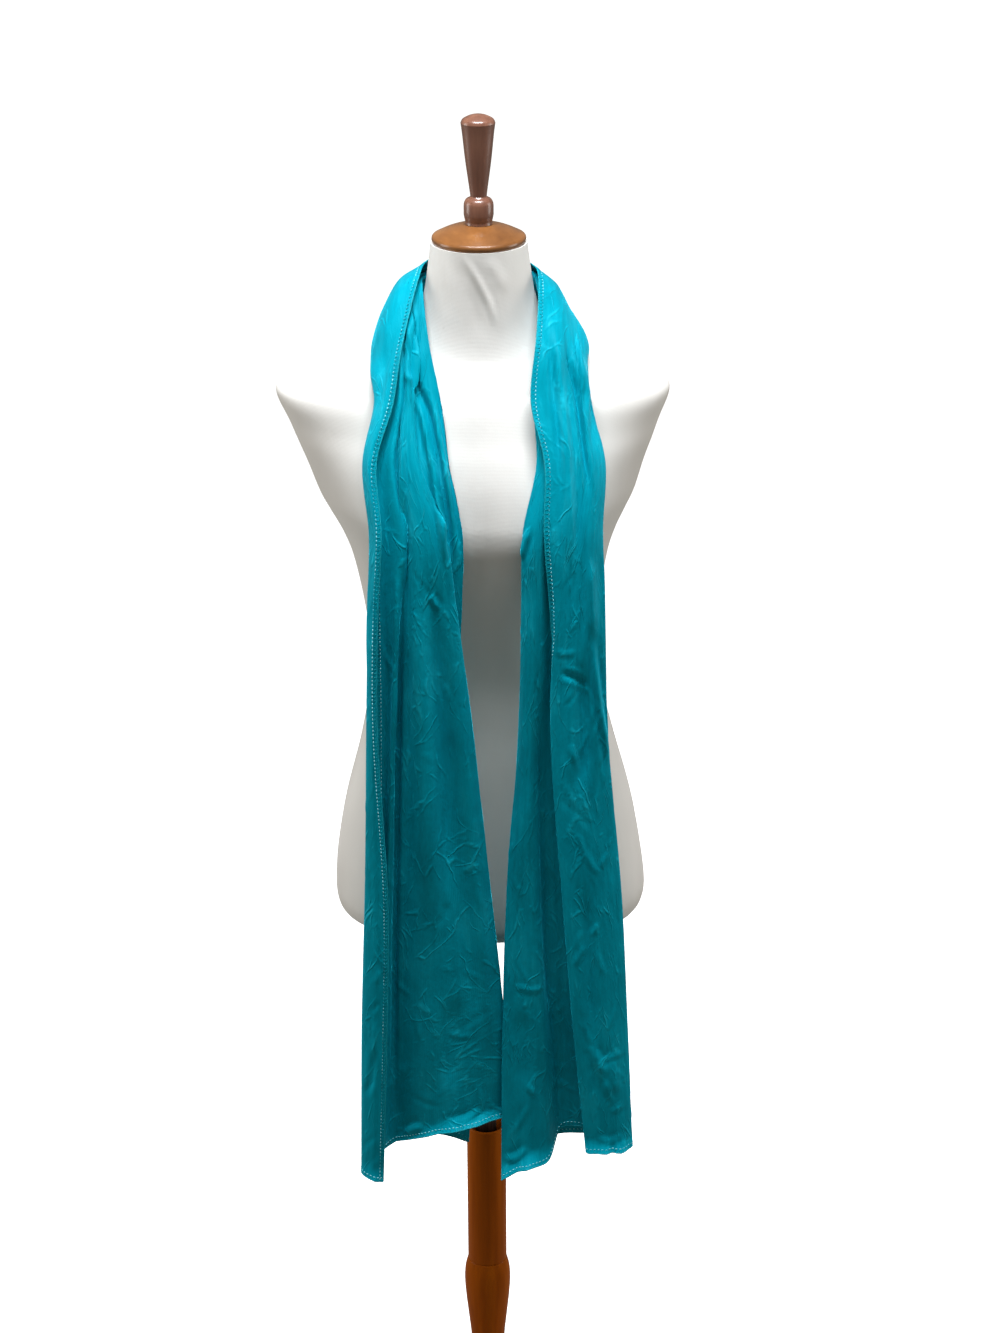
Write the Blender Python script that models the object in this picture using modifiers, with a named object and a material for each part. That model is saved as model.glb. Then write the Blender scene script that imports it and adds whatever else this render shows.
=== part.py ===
"""A long jersey knit scarf hung round the neck of a limbless dress form on a turned wooden stand.

Metres, +Z up, origin on the floor at the pole's axis, front towards -Y. The scarf is one cut
rectangle of jersey, folded lengthwise into a loose flattened roll. Its wall is a loft: every
station along the scarf has a row of fold lines across it, and the wall runs smoothly through them.
The form with its scarf slides up and down in the stand's hollow pole.
"""

import math

import bmesh
import bpy
import numpy as np

MM = 0.001
GAP = 0.3  # between pieces that meet, in millimetres

# Wooden stand, all in millimetres
BASE_RADIUS = 180.0
BASE_HEIGHT = 24.0
FOOT_TOP = 332.0  # joint between the turned foot and the sleeve
SLEEVE_TOP = 505.5
SLEEVE_RADIUS = 21.5
SLEEVE_BORE_RADIUS = 18.5
GUIDE_RADIUS = 11.6  # bore of the foot, which the rod runs in
GUIDE_BOTTOM = 60.0
ROD_RADIUS = 11.0
ROD_BOTTOM = 180.0

# Dress form, all in millimetres
FORM_BOTTOM = 785.0
NECK_TOP = 1497.0
BUST = dict(across=75.0, height=1232.0, out=20.0, wide=50.0, tall=45.0)
CAP_BOTTOM = NECK_TOP + GAP
CAP_RADIUS = 45.5
CAP_RIM = 5.0
CAP_RISE = 12.0
KNOB_HEIGHT = 26.0
CONE_HEIGHT = 73.0
FINIAL_TOP = 1620.0

# Level sections of the form from the hips up. It leans a little on its rod, so each section's
# middle lies some millimetres aside of the pole's axis
FORM_SECTIONS = (
    # z, aside, half_width, front, back, squareness
    (785.0, 6.0, 155.5, 98.0, 106.0, 2.2),
    (793.5, 6.3, 160.0, 104.0, 112.0, 2.2),
    (812.0, 6.4, 162.0, 105.5, 115.0, 2.2),
    (853.0, 5.4, 158.0, 104.0, 117.0, 2.2),
    (911.0, 5.2, 147.5, 101.0, 111.0, 2.2),
    (974.0, 4.8, 131.0, 97.0, 96.0, 2.2),
    (1030.0, 3.0, 119.0, 91.0, 82.0, 2.2),
    (1073.0, 1.5, 114.0, 89.0, 76.0, 2.2),
    (1130.0, 0.0, 118.5, 95.0, 79.0, 2.2),
    (1184.0, -1.2, 127.5, 104.5, 85.0, 2.2),
    (1214.0, -2.2, 137.0, 111.5, 89.0, 2.2),
    (1237.0, -3.2, 148.5, 113.0, 93.0, 2.2),
    (1254.0, -3.8, 157.0, 111.5, 95.0, 2.2),
    (1282.0, -4.8, 166.5, 107.5, 96.0, 2.2),
    (1304.0, -5.4, 175.0, 101.0, 96.0, 2.2),
    (1324.0, -6.0, 182.5, 92.0, 94.0, 2.2),
    (1345.0, -6.8, 191.5, 83.0, 91.0, 2.2),
    (1356.0, -7.2, 192.0, 77.2, 88.0, 2.15),
    (1363.0, -6.6, 184.0, 71.5, 85.5, 2.1),
    (1369.0, -5.2, 160.0, 68.0, 82.5, 2.1),
    (1378.0, -2.6, 130.0, 62.5, 78.0, 2.1),
    (1388.0, -0.8, 105.0, 57.5, 73.0, 2.0),
    (1396.0, 0.0, 88.0, 54.0, 69.0, 2.0),
    (1408.0, 0.0, 72.5, 51.0, 64.0, 2.0),
    (1425.0, 0.0, 61.5, 48.5, 58.0, 2.0),
    (1448.0, 0.0, 53.5, 47.0, 52.0, 2.0),
    (1473.0, 0.0, 49.6, 46.3, 48.5, 2.0),
    (1497.0, 0.0, 46.6, 45.5, 46.0, 2.0),
)
FORM_SIDES = 40

# Scarf
WALL = 1.2
HEM_RIGHT = "right_hem"
HEM_LEFT = "left_hem"
TOP_RIGHT = "right_top"
TOP_LEFT = "left_top"

# Where the scarf runs: at each station the roll lies across the line from `inner` to `outer`,
# and `reach` says how many millimetres of a fold's `across` value that line stands for
STATIONS = (
    # name, inner x, y, z, outer x, y, z, reach
    (HEM_RIGHT, 0, -133, 570, -100, -133, 570, 100),
    ("right_thigh", 4.5, -134, 720, -100, -134, 720, 100),
    ("right_hip", 0, -134, 857, -100, -134, 857, 100),
    ("right_waist", 0, -134, 1077, -100, -134, 1077, 100),
    ("right_rib", 0, -134, 1180, -100, -131, 1180, 100),
    ("right_bust", 1, -132, 1250, -100, -123, 1250, 100),
    ("right_upper_bust", 8, -117, 1310, -100, -103, 1307, 100),
    ("right_chest", 0, -87.5, 1366.5, -100, -77.5, 1355, 100),
    ("right_shoulder", -46, -57, 1413, -100, -52, 1386, 62),
    (TOP_RIGHT, -53.5, -11, 1460, -99, -3, 1404, 72),
    ("right_side", -51.5, 22, 1463, -89, 39, 1400, 76),
    ("right_back", -32.5, 49, 1463, -53, 73.5, 1395, 78),
    ("nape", 0, 58.5, 1463, 0, 86, 1393, 78),
    ("left_back", 33, 49.5, 1463, 53.5, 74, 1395, 78),
    ("left_side", 50.5, 22, 1463, 89, 38, 1400, 76),
    (TOP_LEFT, 54, -11, 1460, 102.5, -4, 1400, 72),
    ("left_shoulder", 51, -57, 1413, 103, -52, 1386, 62),
    ("left_chest", 0, -86.5, 1365.5, 100, -75.5, 1353.5, 100),
    ("left_upper_bust", -3, -117, 1310, 99, -103, 1307, 100),
    ("left_bust", 0, -132, 1250, 100, -123, 1250, 100),
    ("left_rib", 0, -134, 1180, 100, -131, 1180, 100),
    ("left_waist", 0, -134, 1077, 100, -134, 1077, 100),
    ("left_hip", 0, -134, 857, 100, -134, 857, 100),
    ("left_thigh", 0, -134, 720, 100, -134, 720, 100),
    (HEM_LEFT, 0, -133, 570, 100, -133, 570, 100),
)

# One row per fold line, from the stitched edge that shows in front to the edge tucked inside the
# roll. Each pair is how far across the station's line the fold lies, and how far out of it.
# Round the nape the folds keep the right tail's names; on the left tail they lie in other places.
RIGHT_FOLDS = (
    # fold, hem height, hem, hip, waist, bust, chest, shoulder, top
    ("front_edge", 541, (107.6, 30), (96.5, 27), (103, 24), (93.5, 21), (80, 19), (26, 16), (-1, 6.5)),
    ("flap", 545, (118, 32), (108, 29), (108, 25.5), (99, 22), (90, 20.5), (42.5, 17), (29, 16.5)),
    ("outer_fold", 551, (129, 20), (118.5, 19), (112, 16), (104.5, 12), (100, 10), (62.5, 5), (75, 1)),
    ("back_outer", 572, (92, 0), (84, 0), (85, 0), (84, 1.5), (88, -3.5), (50, -8), (60, -10)),
    ("back_inner", 576, (52, -5), (46, -4), (50, -2), (42, 0.5), (62, -4.5), (28, -9), (30, -10)),
    ("inner_fold", 569, (18, 0), (9, 0), (24, 1), (18.5, 5), (37, 2), (3, -1), (4, -2)),
    ("crevice", 588, (40, 6), (33, 6), (46, 6), (45, 7.5), (66, 5), (16, 3.5), (11, 2.5)),
    ("panel_fold", 606, (-19, 8), (-7.5, 10), (14.5, 11), (35, 14), (61.5, 11), (15, 8), (15, 6)),
    ("panel", 602, (28, 22), (36, 20), (40, 17), (48, 17), (65, 15), (21, 9.5), (20, 5.5)),
    ("panel_outer", 590, (64, 20), (62, 19), (62, 16.5), (62, 16), (68.5, 14.5), (24, 8), (25, 5)),
    ("valley", 573, (95, 5), (88, 5.5), (80, 6), (72.5, 9), (71, 9), (27, 6), (29, 4)),
    ("ridge", 571, (106, 16), (97, 15.5), (85.5, 15.5), (76, 15), (74.5, 14), (31, 8.5), (33, 5.5)),
    ("inner_valley", 571, (111, 12), (101.5, 11.5), (93.7, 9), (90.5, 9), (81.5, 7), (37, 3.5), (39, 1.5)),
    ("hidden_edge", 571, (118, 19), (107.5, 16.5), (102.5, 13), (99.5, 12), (89, 9), (45, 5.5), (48, 2.5)),
)
NAPE_FOLDS = (
    # fold, nape
    ("front_edge", (-1, 4.5)),
    ("flap", (40, 10.5)),
    ("outer_fold", (68, 6)),
    ("back_outer", (76, -3)),
    ("back_inner", (58, -9)),
    ("inner_fold", (32, -9)),
    ("crevice", (10, -7)),
    ("panel_fold", (3, -1)),
    ("panel", (14, 4)),
    ("panel_outer", (27, 5.5)),
    ("valley", (38, 2)),
    ("ridge", (47, 3.5)),
    ("inner_valley", (55, 1)),
    ("hidden_edge", (62, -1)),
)
LEFT_FOLDS = (
    # fold, hem height, hem, hip, waist, bust, chest, shoulder, top
    ("front_edge", 580, (109, 25), (85, 21), (72.5, 14.5), (58.5, 16), (46, 15), (-2, 12.5), (-2, 5.5)),
    ("edge_turn", 577, (103, 31), (79, 26.5), (66, 19), (74, 19), (69, 19), (22, 16.5), (19, 11.5)),
    ("gather_crease", 577, (121, 33), (100, 29), (85, 21), (86.5, 17), (88.5, 16.5), (41, 12.5), (42, 8.5)),
    ("second_ridge", 577, (138.5, 29), (122, 25), (106, 20), (101, 18.5), (97, 16.5), (52, 11.5), (59, 6)),
    ("outer_fold", 577, (150, 19), (137.5, 16), (120.5, 13), (115, 11), (104.5, 9), (60.5, 2), (74, -2)),
    ("back_outer", 577, (115, 0), (106, 0), (98, 0), (98, 2), (92, -3), (46, -8), (56, -10)),
    ("back_inner", 570, (60, -5), (58, -4), (66, -2), (70, 1), (74, -4), (24, -9), (26, -10)),
    ("inner_fold", 540, (15, 20), (22, 10), (37.8, 3), (40, 5), (51, 1), (6, -1), (5, -2)),
    ("front_lobe", 554, (40, 22), (38, 15), (48, 11), (49, 12), (60, 8.5), (13, 6), (13, 4)),
    ("lobe_outer", 558, (64, 18), (56, 14), (57, 12), (57, 12.5), (66, 10), (21, 7.5), (22, 5)),
    ("recess", 584, (76, 2), (69, 3.5), (67, 5), (66, 7), (72, 9), (29, 6), (31, 3)),
    ("hidden_rise", 590, (93, 4), (82, 5), (77, 6.5), (77, 8.5), (80, 9), (36, 5.5), (40, 3)),
    ("hidden_fall", 588, (108, 9), (94, 8), (87, 8.5), (87, 9), (82.5, 7), (43, 3.5), (49, 0.5)),
    ("hidden_edge", 585, (124, 15), (108, 13), (100, 10.5), (100, 11), (88.5, 7.5), (50, 2.5), (58, -1)),
)
FOLD_STATIONS = ("hem", "hip", "waist", "bust", "chest", "shoulder", "top")

# Steps of the wall between stations, and between fold lines where the cloth turns sharply or not
ROWS_PER_SPAN = 2
SEAM_ROW = 3.0  # a row this close to each end keeps the ends of two stretches parallel
SHARP_STEPS = (0.0, 0.2, 0.5, 0.8)
SOFT_STEPS = (0.0, 0.5)
SHARP_SPANS = (1, 2, 4, 5, 6, 7)  # spans that touch an outer, inner or panel fold


def spline(knots, values, at):
    """Smooth curve through `values` at `knots` (Catmull-Rom tangents), read at `at`."""
    knots = np.asarray(knots, float)
    values = np.asarray(values, float)
    at = np.clip(np.asarray(at, float), knots[0], knots[-1])
    slopes = np.gradient(values, knots, axis=0)
    span = np.clip(np.searchsorted(knots, at, side="right") - 1, 0, len(knots) - 2)
    width = knots[span + 1] - knots[span]
    t = (at - knots[span]) / width
    shape = (-1,) + (1,) * (values.ndim - 1)
    t = t.reshape(shape)
    width = width.reshape(shape)
    return (
        (2 * t**3 - 3 * t**2 + 1) * values[span]
        + (t**3 - 2 * t**2 + t) * width * slopes[span]
        + (3 * t**2 - 2 * t**3) * values[span + 1]
        + (t**3 - t**2) * width * slopes[span + 1]
    )


def unit(vectors):
    return vectors / np.linalg.norm(vectors, axis=-1, keepdims=True)


def path_length(points):
    steps = np.linalg.norm(np.diff(points, axis=0), axis=1)
    return np.concatenate([[0.0], np.cumsum(steps)])


class Scarf:
    """The scarf's middle surface, read at a length along it and a fold number across it."""

    def __init__(self):
        names = [row[0] for row in STATIONS]
        inner = np.array([row[1:4] for row in STATIONS], float)
        outer = np.array([row[4:7] for row in STATIONS], float)
        reach = np.array([row[7] for row in STATIONS], float)
        middle = (inner + outer) / 2
        self.lengths = path_length(middle)
        self.station_length = dict(zip(names, self.lengths))
        along = unit(np.gradient(middle, self.lengths, axis=0))
        across = (outer - inner) / reach[:, None]
        out = unit(np.cross(along, unit(across)))
        folds = self.fold_values(names)
        self.points = (
            inner[:, None, :]
            + folds[:, :, :1] * across[:, None, :]
            + folds[:, :, 1:] * out[:, None, :]
        )
        self.drop_hems()

    def fold_values(self, names):
        """Across and out of every fold at every station, smooth between the stations that list them."""
        listed = ["right_" + name for name in FOLD_STATIONS] + ["nape"]
        listed += ["left_" + name for name in reversed(FOLD_STATIONS)]
        rows = [[row[2 + i] for row in RIGHT_FOLDS] for i in range(len(FOLD_STATIONS))]
        rows.append([row[1] for row in NAPE_FOLDS])
        rows += [[row[2 + i] for row in LEFT_FOLDS] for i in reversed(range(len(FOLD_STATIONS)))]
        knots = [self.station_length[name] for name in listed]
        return spline(knots, np.array(rows, float), [self.station_length[name] for name in names])

    def drop_hems(self):
        """Each fold line ends at its own height, so the hems hang unevenly."""
        self.points[0, :, 2] = [row[1] for row in RIGHT_FOLDS]
        self.points[-1, :, 2] = [row[1] for row in LEFT_FOLDS]

    def surface(self, lengths, folds):
        lines = spline(self.lengths, self.points, lengths)
        rows = spline(np.arange(lines.shape[1]), lines.transpose(1, 0, 2), folds)
        return rows.transpose(1, 0, 2) * MM


def fold_steps():
    """Positions across the wall, closer together beside sharp folds."""
    steps = []
    for span in range(len(RIGHT_FOLDS) - 1):
        inside = SHARP_STEPS if span in SHARP_SPANS else SOFT_STEPS
        steps += [span + part for part in inside]
    return steps + [len(RIGHT_FOLDS) - 1.0]


def new_object(name, mesh, collection, material):
    obj = bpy.data.objects.new(name, mesh)
    collection.objects.link(obj)
    mesh.materials.append(material)
    return obj


def shade(mesh, degrees=40):
    mesh.shade_smooth()
    mesh.set_sharp_from_angle(angle=math.radians(degrees))


def grid_mesh(name, points):
    """An open sheet through a grid of points."""
    rows, columns = points.shape[:2]
    faces = [
        (r * columns + c, r * columns + c + 1, (r + 1) * columns + c + 1, (r + 1) * columns + c)
        for r in range(rows - 1)
        for c in range(columns - 1)
    ]
    mesh = bpy.data.meshes.new(name)
    mesh.from_pydata(points.reshape(-1, 3).tolist(), [], faces)
    mesh.update()
    return mesh


def scarf_stretch(name, scarf, start, end, collection, material):
    """One named stretch of the scarf, from one station to another, as a wall of cloth."""
    first = scarf.station_length[start] + (0 if start == HEM_RIGHT else GAP / 2)
    last = scarf.station_length[end] - (0 if end == HEM_LEFT else GAP / 2)
    between = [length for length in scarf.lengths if first < length < last]
    knots = np.array([first] + [k for k in between if k - first > 1 and last - k > 1] + [last])
    lengths = np.interp(
        np.arange((len(knots) - 1) * ROWS_PER_SPAN + 1) / ROWS_PER_SPAN, np.arange(len(knots)), knots
    )
    lengths = np.sort(np.append(lengths, [first + SEAM_ROW, last - SEAM_ROW]))
    points = scarf.surface(lengths, fold_steps())
    obj = new_object(name, grid_mesh(name, points), collection, material)
    wall = obj.modifiers.new("wall", "SOLIDIFY")
    wall.thickness = WALL * MM
    wall.offset = 0.0
    wall.use_even_offset = False
    shade(obj.data)
    return obj


def form_ring(z, aside, half_width, front, back, squareness):
    """One level section of the dress form, a squared oval with the bust swelling its front."""
    ring = []
    for step in range(FORM_SIDES):
        angle = 2 * math.pi * step / FORM_SIDES
        power = 2 / squareness
        x = half_width * math.copysign(abs(math.cos(angle)) ** power, math.cos(angle))
        rise = math.copysign(abs(math.sin(angle)) ** power, math.sin(angle))
        y = rise * (back if rise > 0 else front)
        if rise < 0:
            sideways = (abs(x) - BUST["across"]) / BUST["wide"]
            upward = (z - BUST["height"]) / BUST["tall"]
            y -= BUST["out"] * math.exp(-(sideways**2 + upward**2) / 2) * math.sqrt(-rise)
        ring.append(((x + aside) * MM, y * MM, z * MM))
    return ring


def dress_form(collection, material):
    """The closed torso, lofted through its sections, with a flat cut at the hips and the neck."""
    mesh = bpy.data.meshes.new("dress_form")
    model = bmesh.new()
    rings = [[model.verts.new(point) for point in form_ring(*row)] for row in FORM_SECTIONS]
    for low, high in zip(rings, rings[1:]):
        for i in range(FORM_SIDES):
            j = (i + 1) % FORM_SIDES
            model.faces.new((low[i], low[j], high[j], high[i]))
    model.faces.new(rings[0][::-1])
    model.faces.new(rings[-1])
    model.to_mesh(mesh)
    model.free()
    obj = new_object("dress_form", mesh, collection, material)
    shade(mesh, 50)
    return obj


def turned(name, profile, sides, collection, material, hollow=False):
    """A piece turned on the lathe: profile of (radius, z) from its top down its outer side."""
    mesh = bpy.data.meshes.new(name)
    points = [(radius * MM, 0.0, z * MM) for radius, z in profile]
    edges = [(i, i + 1) for i in range(len(points) - 1)]
    if hollow:
        edges.append((len(points) - 1, 0))
    mesh.from_pydata(points, edges, [])
    obj = new_object(name, mesh, collection, material)
    lathe = obj.modifiers.new("lathe", "SCREW")
    lathe.steps = sides
    lathe.render_steps = sides
    lathe.use_smooth_shade = True
    lathe.use_merge_vertices = True
    lathe.merge_threshold = 0.00001
    return obj


def arc(centre_r, centre_z, radius, start, end, steps):
    """Points on an arc in the profile plane, by degrees from the +radius direction."""
    angles = [math.radians(start + (end - start) * i / steps) for i in range(steps + 1)]
    return [(centre_r + radius * math.cos(a), centre_z + radius * math.sin(a)) for a in angles]


def finial_profile():
    """Round-headed cone over a shouldered knob."""
    knob_bottom = CAP_BOTTOM + CAP_RIM + CAP_RISE + GAP
    knob_top = knob_bottom + KNOB_HEIGHT
    head_radius = 16.6
    head_z = FINIAL_TOP - 7.0
    head = [(0.0, FINIAL_TOP), (6.0, FINIAL_TOP - 0.8), (11.5, FINIAL_TOP - 3.0)]
    head += [(head_radius - 1.0, head_z + 1.2), (head_radius, head_z - 1.5)]
    neck = [(12.6, head_z - 0.5 * CONE_HEIGHT), (8.2, knob_top + 3.0), (8.6, knob_top)]
    knob = [(12.2, knob_top - 2.2), (14.4, knob_top - 7.5), (14.4, knob_bottom + 9.0)]
    foot = [(13.0, knob_bottom + 3.0), (13.2, knob_bottom), (0.0, knob_bottom)]
    return head + neck + knob + foot


def cap_profile():
    """Low dome with a straight rim, seated on the neck."""
    rim_top = CAP_BOTTOM + CAP_RIM
    dome = [(0.0, rim_top + CAP_RISE), (15.0, rim_top + CAP_RISE), (24.0, rim_top + 9.6)]
    dome += [(34.0, rim_top + 6.0), (41.0, rim_top + 2.6), (CAP_RADIUS - 0.8, rim_top)]
    return dome + [(CAP_RADIUS, rim_top - 1.5), (CAP_RADIUS, CAP_BOTTOM), (0.0, CAP_BOTTOM)]


def sleeve_profile():
    """Straight hollow sleeve, open at both ends."""
    bottom = FOOT_TOP + GAP
    top = [(SLEEVE_BORE_RADIUS, SLEEVE_TOP), (SLEEVE_RADIUS - 1.0, SLEEVE_TOP)]
    outside = [(SLEEVE_RADIUS, SLEEVE_TOP - 1.0), (SLEEVE_RADIUS, bottom + 1.0)]
    return top + outside + [(SLEEVE_RADIUS - 1.0, bottom), (SLEEVE_BORE_RADIUS, bottom)]


def foot_profile():
    """Turned foot of the pole: a bulge under the joint, tapering down to a ring on the base."""
    bottom = BASE_HEIGHT + GAP
    bulge = [(GUIDE_RADIUS, FOOT_TOP), (20.5, FOOT_TOP), (22.0, FOOT_TOP - 2.0), (24.5, 320.0)]
    taper = [(25.5, 304.5), (24.4, 284.0), (21.5, 255.0), (18.6, 225.0), (17.6, 190.0), (17.6, 120.0)]
    ring = [(19.5, 80.0), (25.0, 60.0), (27.5, 52.0), (26.0, 44.0), (24.0, 40.0), (30.0, 34.0)]
    seat = [(34.0, 30.0), (34.0, bottom), (0.0, bottom)]
    return bulge + taper + ring + seat + [(0.0, GUIDE_BOTTOM), (GUIDE_RADIUS, GUIDE_BOTTOM)]


def base_profile():
    """Round disc with a rolled edge, flat underneath."""
    edge = arc(BASE_RADIUS - BASE_HEIGHT / 2, BASE_HEIGHT / 2, BASE_HEIGHT / 2, 90, -90, 6)
    return [(0.0, BASE_HEIGHT)] + edge + [(0.0, 0.0)]


def material(name, colour, roughness, metallic=0.0):
    made = bpy.data.materials.new(name)
    made.use_nodes = True
    shader = made.node_tree.nodes["Principled BSDF"]
    shader.inputs["Base Color"].default_value = (*colour, 1.0)
    shader.inputs["Roughness"].default_value = roughness
    shader.inputs["Metallic"].default_value = metallic
    made.diffuse_color = (*colour, 1.0)
    return made


def build():
    for old in list(bpy.data.objects):
        bpy.data.objects.remove(old)
    scarf_parts = bpy.data.collections.new("jersey_scarf_on_dress_form")
    bpy.context.scene.collection.children.link(scarf_parts)

    jersey = material("teal_jersey", (0.0, 0.28, 0.34), 0.45)
    cover = material("white_cover", (0.80, 0.79, 0.76), 0.8)
    wood = material("reddish_wood", (0.23, 0.07, 0.02), 0.3)
    steel = material("dark_steel", (0.10, 0.09, 0.08), 0.4, 1.0)

    scarf = Scarf()
    scarf_stretch("scarf_right_tail", scarf, HEM_RIGHT, TOP_RIGHT, scarf_parts, jersey)
    scarf_stretch("scarf_neck", scarf, TOP_RIGHT, TOP_LEFT, scarf_parts, jersey)
    scarf_stretch("scarf_left_tail", scarf, TOP_LEFT, HEM_LEFT, scarf_parts, jersey)

    dress_form(scarf_parts, cover)
    turned("neck_cap", cap_profile(), 36, scarf_parts, wood)
    turned("finial", finial_profile(), 24, scarf_parts, wood)
    rod_top = FORM_BOTTOM - GAP
    rod = [(0.0, rod_top), (ROD_RADIUS, rod_top), (ROD_RADIUS, ROD_BOTTOM), (0.0, ROD_BOTTOM)]
    turned("inner_rod", rod, 24, scarf_parts, steel)
    turned("pole_sleeve", sleeve_profile(), 32, scarf_parts, wood, hollow=True)
    turned("pole_foot", foot_profile(), 32, scarf_parts, wood, hollow=True)
    turned("base_disc", base_profile(), 48, scarf_parts, wood)


build()
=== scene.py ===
"""Looks of the long teal jersey scarf that hangs round the neck of a limbless dress form.

Metres, +Z up, front towards -Y, in the frame of the solids. The scarf is one fine thin shell over
its solids' form, with its creases placed one by one. The form and its stand get finer surfaces.
Tables are in millimetres.
"""

import math

import bmesh
import bpy
import numpy as np
from mathutils import Matrix, Vector
from mathutils.bvhtree import BVHTree


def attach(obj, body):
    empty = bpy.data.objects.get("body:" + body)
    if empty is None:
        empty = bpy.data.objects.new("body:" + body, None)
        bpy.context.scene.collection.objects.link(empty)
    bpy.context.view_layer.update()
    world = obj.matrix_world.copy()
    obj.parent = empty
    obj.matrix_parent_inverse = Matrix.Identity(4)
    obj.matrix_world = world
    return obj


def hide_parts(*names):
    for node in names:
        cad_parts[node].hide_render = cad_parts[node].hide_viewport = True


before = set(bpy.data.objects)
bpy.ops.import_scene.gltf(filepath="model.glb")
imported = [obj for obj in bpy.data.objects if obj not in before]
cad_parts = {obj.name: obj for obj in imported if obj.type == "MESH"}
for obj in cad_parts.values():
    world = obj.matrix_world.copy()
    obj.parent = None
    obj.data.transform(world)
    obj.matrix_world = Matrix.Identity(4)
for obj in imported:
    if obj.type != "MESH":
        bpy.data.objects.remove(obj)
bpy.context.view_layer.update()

MM = 0.001
FORM = "form"
STAND = "stand"

# Camera: a 1000 x 1333 picture taken from a little above, looking down
IMAGE_HEIGHT = 1333
FOCAL_PIXELS = 2850
SENSOR_HEIGHT = 36.0
CAMERA_PLACE = (0.0, -2.67, 2.213)
CAMERA_DOWN = 23.5
CAMERA_YAW = -0.352 / math.cos(math.radians(CAMERA_DOWN))
CAMERA_ROLL = -0.33

# Level sections of the form, from its flat underside up to its neck
FORM_SECTIONS = (
    # z, aside, half width, front, back, squareness
    (785, 6, 155.5, 98, 106, 2.2),
    (793.5, 6.3, 160, 104, 112, 2.2),
    (812, 6.4, 162, 105.5, 115, 2.2),
    (853, 5.4, 158, 104, 117, 2.2),
    (911, 5.2, 147.5, 101, 111, 2.2),
    (974, 4.8, 131, 97, 96, 2.2),
    (1030, 3, 119, 91, 82, 2.2),
    (1073, 1.5, 114, 89, 76, 2.2),
    (1130, 0, 118.5, 95, 79, 2.2),
    (1184, -1.2, 127.5, 104.5, 85, 2.2),
    (1214, -2.2, 137, 111.5, 89, 2.2),
    (1237, -3.2, 148.5, 113, 93, 2.2),
    (1254, -3.8, 157, 111.5, 95, 2.2),
    (1282, -4.8, 166.5, 107.5, 96, 2.2),
    (1304, -5.4, 175, 101, 96, 2.2),
    (1324, -6, 182.5, 92, 94, 2.2),
    (1345, -6.8, 191.5, 83, 91, 2.2),
    (1356, -7.2, 192, 77.2, 88, 2.15),
    (1363, -6.6, 184, 71.5, 85.5, 2.1),
    (1369, -5.2, 160, 68, 82.5, 2.1),
    (1378, -2.6, 130, 62.5, 78, 2.1),
    (1388, -0.8, 105, 57.5, 73, 2),
    (1396, 0, 88, 54, 69, 2),
    (1408, 0, 72.5, 51, 64, 2),
    (1425, 0, 61.5, 48.5, 58, 2),
    (1448, 0, 53.5, 47, 52, 2),
    (1473, 0, 49.6, 46.3, 48.5, 2),
    (1497, 0, 46.6, 45.5, 46, 2),
)

FORM_SIDES = 160
FORM_ROWS_PER_SECTION = 8
FORM_SHARP = 50  # degrees from which an edge of the form shades as a corner
BUST = dict(across=75.0, height=1232.0, out=20.0, wide=50.0, tall=45.0)

# Turned wood, as the solids have it
PIECE_GAP = 0.3
CAP_BOTTOM = 1497.0 + PIECE_GAP
CAP_RIM = 5.0
CAP_DOME = 12.0
PART_TOP = 1620.0
SLEEVE_TOP = 505.5
FOOT_TOP = 332.0
BORE_RADIUS = 11.6
BORE_FLOOR = 60.0
BASE_TOP = 24.0
TURNED_SHARP = 32  # degrees, as for the form

# Soft creases of the form's cover on its front: width, height, and x and z of their points
COVER_CREASES = (
    # width, height, points
    (2.8, 1.1, ((-18, 1496), (-10.5, 1487), (-1, 1470), (9, 1450), (16, 1424))),
    (8, -0.8, ((-26, 1498), (-16, 1476), (-4, 1446), (4, 1410))),
    (5, 0.6, ((6, 1494), (18, 1476), (26, 1456))),
)

# Fine sampling of the scarf, within its share of triangles
SCARF_ROWS = 735
SPAN_COLUMNS = (7, 8, 14, 12, 14, 16, 18, 18, 12, 11, 7, 6, 6)
CLOTH = 0.8  # thickness of the shell
CLEAR = 0.35  # least gap between the cloth and the form

# Flat width and length of what shows of each stretch, in metres; the neck's is gathered closer
TAIL_CUT = (0.34, 0.90)
NECK_CUT = (0.27, 0.27)

# Serged edge
EDGE_ROLL = 0.7  # radius of the wrapped edge
STITCH_PITCH = 4.0
STITCH_DEPTH = 4.2  # needle line's distance in from the edge
THREAD = 0.26
NEEDLE_THREAD = 1.7 * THREAD
LOOP_STEPS = (0.24, 0.5, 0.76)  # where an overlock loop turns, as shares of its pitch
DASH_STEPS = ((0.22, THREAD), (0.45, 0.0), (0.68, THREAD))  # share of the pitch, depth in the cloth
NUDGE = 0.013  # keeps a loop's reference direction off its own course

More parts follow.
